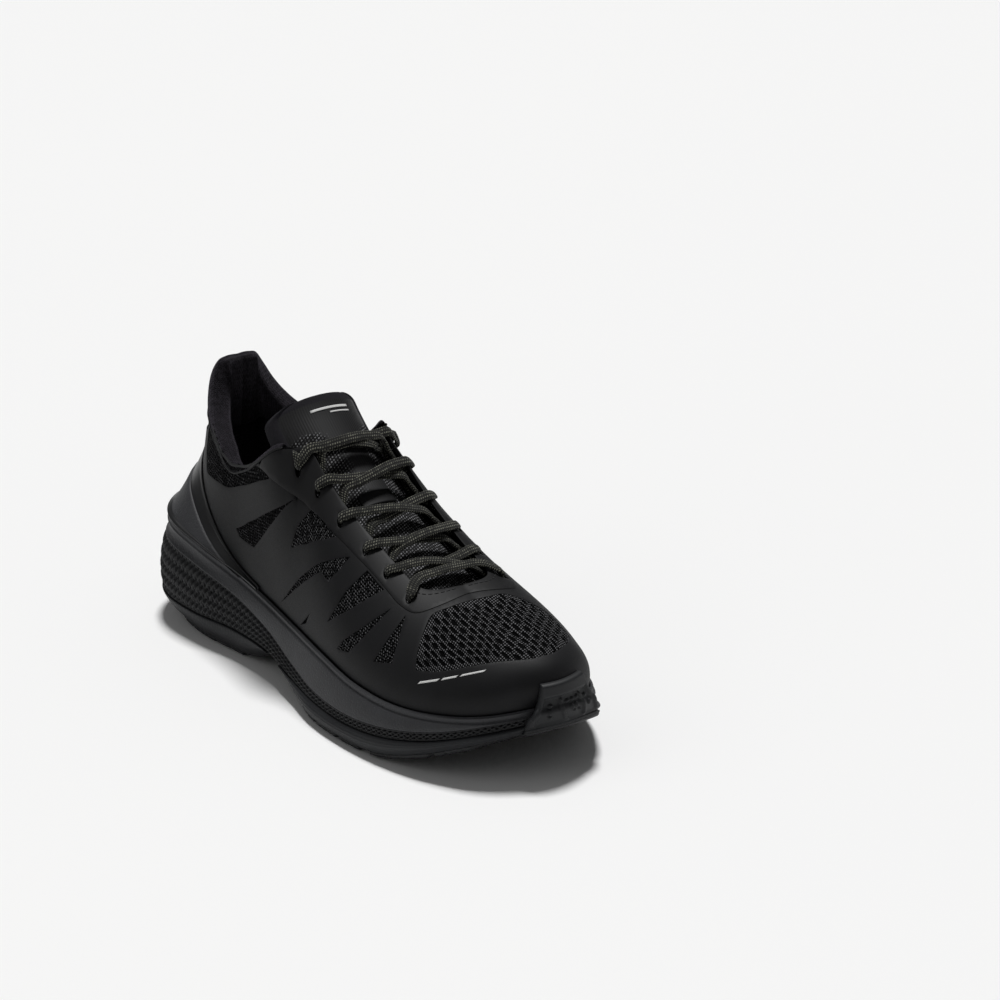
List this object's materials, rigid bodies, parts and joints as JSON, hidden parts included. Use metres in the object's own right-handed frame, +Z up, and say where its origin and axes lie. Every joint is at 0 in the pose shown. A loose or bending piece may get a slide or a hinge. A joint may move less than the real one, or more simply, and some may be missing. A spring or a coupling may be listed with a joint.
{
  "type": "running shoe",
  "caption": "Low-cut lace-up running shoe for the right foot, with a thick layered rocker sole, bonded-film mesh upper, padded collar and flexing toe.",
  "frame": {"origin": "centre of the shoe's footprint box on the ground plane, under the sole", "axes": "+X towards the toe, +Y towards the medial (inner) side, +Z up"},
  "size_m": [0.3035, 0.1148, 0.1305],
  "materials": {
    "mesh_textile": "matte knit",
    "bonded_film": "satin",
    "stiffener": "matte",
    "clip_plastic": "satin",
    "lining_knit": "brushed knit",
    "foam": "matte",
    "outsole_rubber": "matte",
    "strobel_board": "matte",
    "sockliner": "matte",
    "lace_cord": "woven"
  },
  "bodies": {
    "rearfoot": {"quarter_textile": "mesh_textile", "vamp_flex_panel": "bonded_film", "quarter_film_lateral": "bonded_film", "quarter_film_medial": "bonded_film", "eyestay": "bonded_film", "heel_counter": "stiffener", "heel_clip": "clip_plastic", "collar_lining": "lining_knit", "midsole_rear": "foam", "lattice_layer_rear": "foam", "heel_crash_pad": "foam", "forefoot_pad_rear": "foam", "outsole_heel_lateral": "outsole_rubber", "outsole_heel_medial": "outsole_rubber", "outsole_ball_lateral_1": "outsole_rubber", "outsole_ball_lateral_2": "outsole_rubber", "outsole_ball_lateral_3": "outsole_rubber", "outsole_ball_medial_1": "outsole_rubber", "outsole_ball_medial_2": "outsole_rubber", "outsole_ball_medial_3": "outsole_rubber", "strobel_rear": "strobel_board", "tongue": "lining_knit", "lace_keeper": "lace_cord", "shoelace": "lace_cord"},
    "forefoot": {"toe_box_textile": "mesh_textile", "toe_film": "bonded_film", "toe_puff": "stiffener", "midsole_forefoot": "foam", "lattice_layer_forefoot": "foam", "forefoot_pad_front": "foam", "outsole_toe_lateral": "outsole_rubber", "outsole_toe_medial": "outsole_rubber", "toe_rubber": "outsole_rubber", "strobel_forefoot": "strobel_board", "insole_forefoot": "sockliner"},
    "tongue_flap": {"tongue_flap": "lining_knit"},
    "insole": {"insole_rear": "sockliner"}
  },
  "joints": [
    {"name": "toe_flex", "type": "hinge", "parent": "rearfoot", "child": "forefoot", "pos_m": [0.0761, 0.0019, 0.018], "axis": [0, -1, 0], "range_deg": [0, 20], "stiffness_Nm_per_rad": 8, "deforming": ["vamp_flex_panel"]},
    {"name": "tongue_flap_bend", "type": "hinge", "parent": "rearfoot", "child": "tongue_flap", "pos_m": [-0.0359, 0.0019, 0.1215], "axis": [0, 1, 0], "range_deg": [0, 35], "stiffness_Nm_per_rad": 0.05},
    {"name": "insole_lift", "type": "hinge", "parent": "rearfoot", "child": "insole", "pos_m": [0.0759, 0.0019, 0.0299], "axis": [0, 1, 0], "range_deg": [0, 8]}
  ]
}
